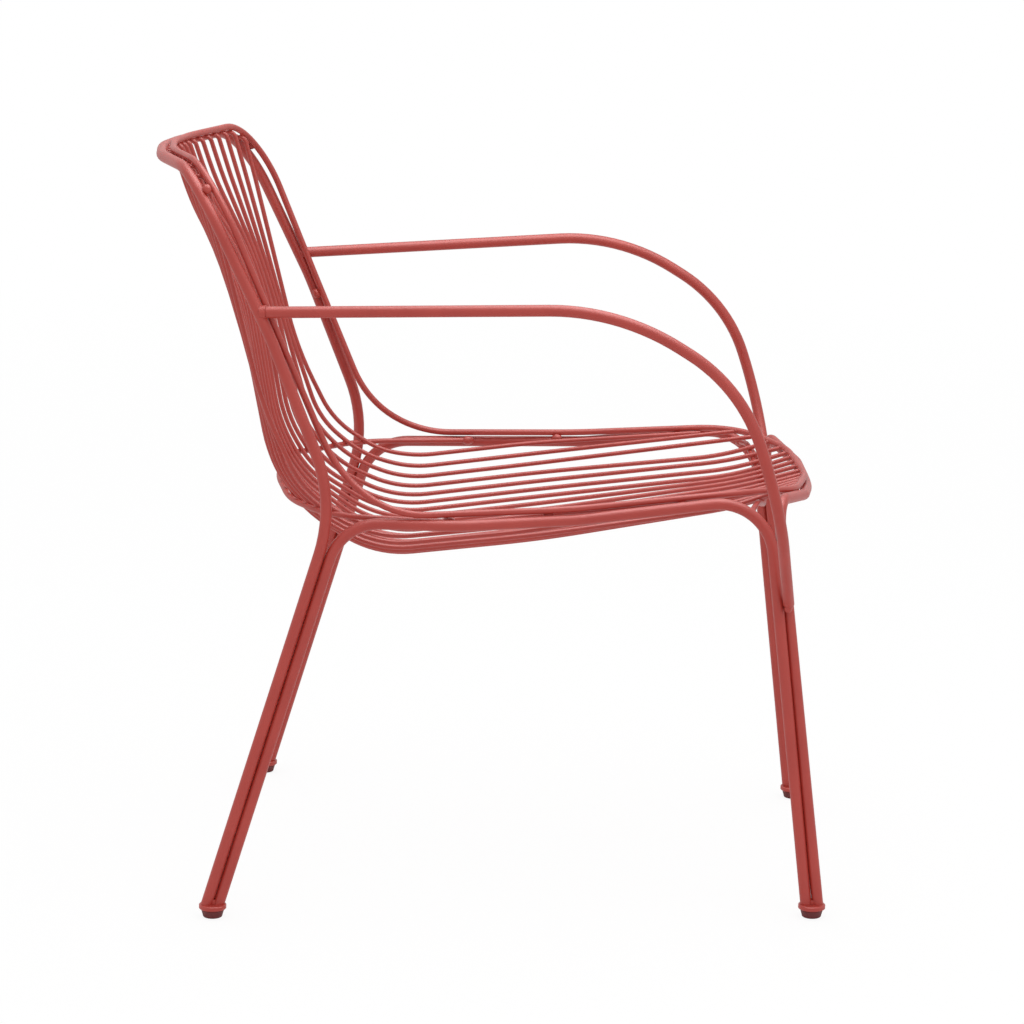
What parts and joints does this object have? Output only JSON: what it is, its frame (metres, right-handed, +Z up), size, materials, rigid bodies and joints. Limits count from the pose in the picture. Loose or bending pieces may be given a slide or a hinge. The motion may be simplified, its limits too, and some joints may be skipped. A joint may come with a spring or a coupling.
{
  "type": "garden armchair",
  "caption": "Low garden armchair of bent, powder-coated steel tube with a bowl-shaped seat and back of slim wires.",
  "frame": {"origin": "on the floor at the middle of the chair's footprint box", "axes": "+Z up, -Y towards the chair's front, +X towards the sitter's left"},
  "size_m": [0.6258, 0.7308, 0.7814],
  "materials": {
    "coated_steel": "satin",
    "glide_plastic": "matte"
  },
  "bodies": {
    "root": {"rear_hoop": "coated_steel", "shell_rim": "coated_steel", "front_hoop": "coated_steel", "rear_cross_rod": "coated_steel", "front_cross_rod": "coated_steel", "side_frame_left": "coated_steel", "side_frame_right": "coated_steel", "armrest_left": "coated_steel", "armrest_right": "coated_steel", "arm_welds_left": "coated_steel", "arm_welds_right": "coated_steel", "rim_welds_left": "coated_steel", "rim_welds_right": "coated_steel", "rod_welds_left": "coated_steel", "rod_welds_right": "coated_steel", "leg_weld_front_left": "coated_steel", "leg_weld_front_right": "coated_steel", "leg_weld_rear_left": "coated_steel", "leg_weld_rear_right": "coated_steel", "foot_plate_front_left": "coated_steel", "foot_plate_front_right": "coated_steel", "foot_plate_rear_left": "coated_steel", "foot_plate_rear_right": "coated_steel", "wire_01": "coated_steel", "wire_02": "coated_steel", "wire_03": "coated_steel", "wire_04": "coated_steel", "wire_05": "coated_steel", "wire_06": "coated_steel", "wire_07": "coated_steel", "wire_08": "coated_steel", "wire_09": "coated_steel", "wire_10": "coated_steel", "wire_11": "coated_steel", "wire_12": "coated_steel", "wire_13": "coated_steel", "wire_14": "coated_steel", "wire_15": "coated_steel", "wire_16": "coated_steel", "wire_17": "coated_steel", "wire_18": "coated_steel", "wire_19": "coated_steel", "wire_20": "coated_steel", "wire_21": "coated_steel", "glide_front_left": "glide_plastic", "glide_front_right": "glide_plastic", "glide_rear_left": "glide_plastic", "glide_rear_right": "glide_plastic"}
  },
  "joints": []
}
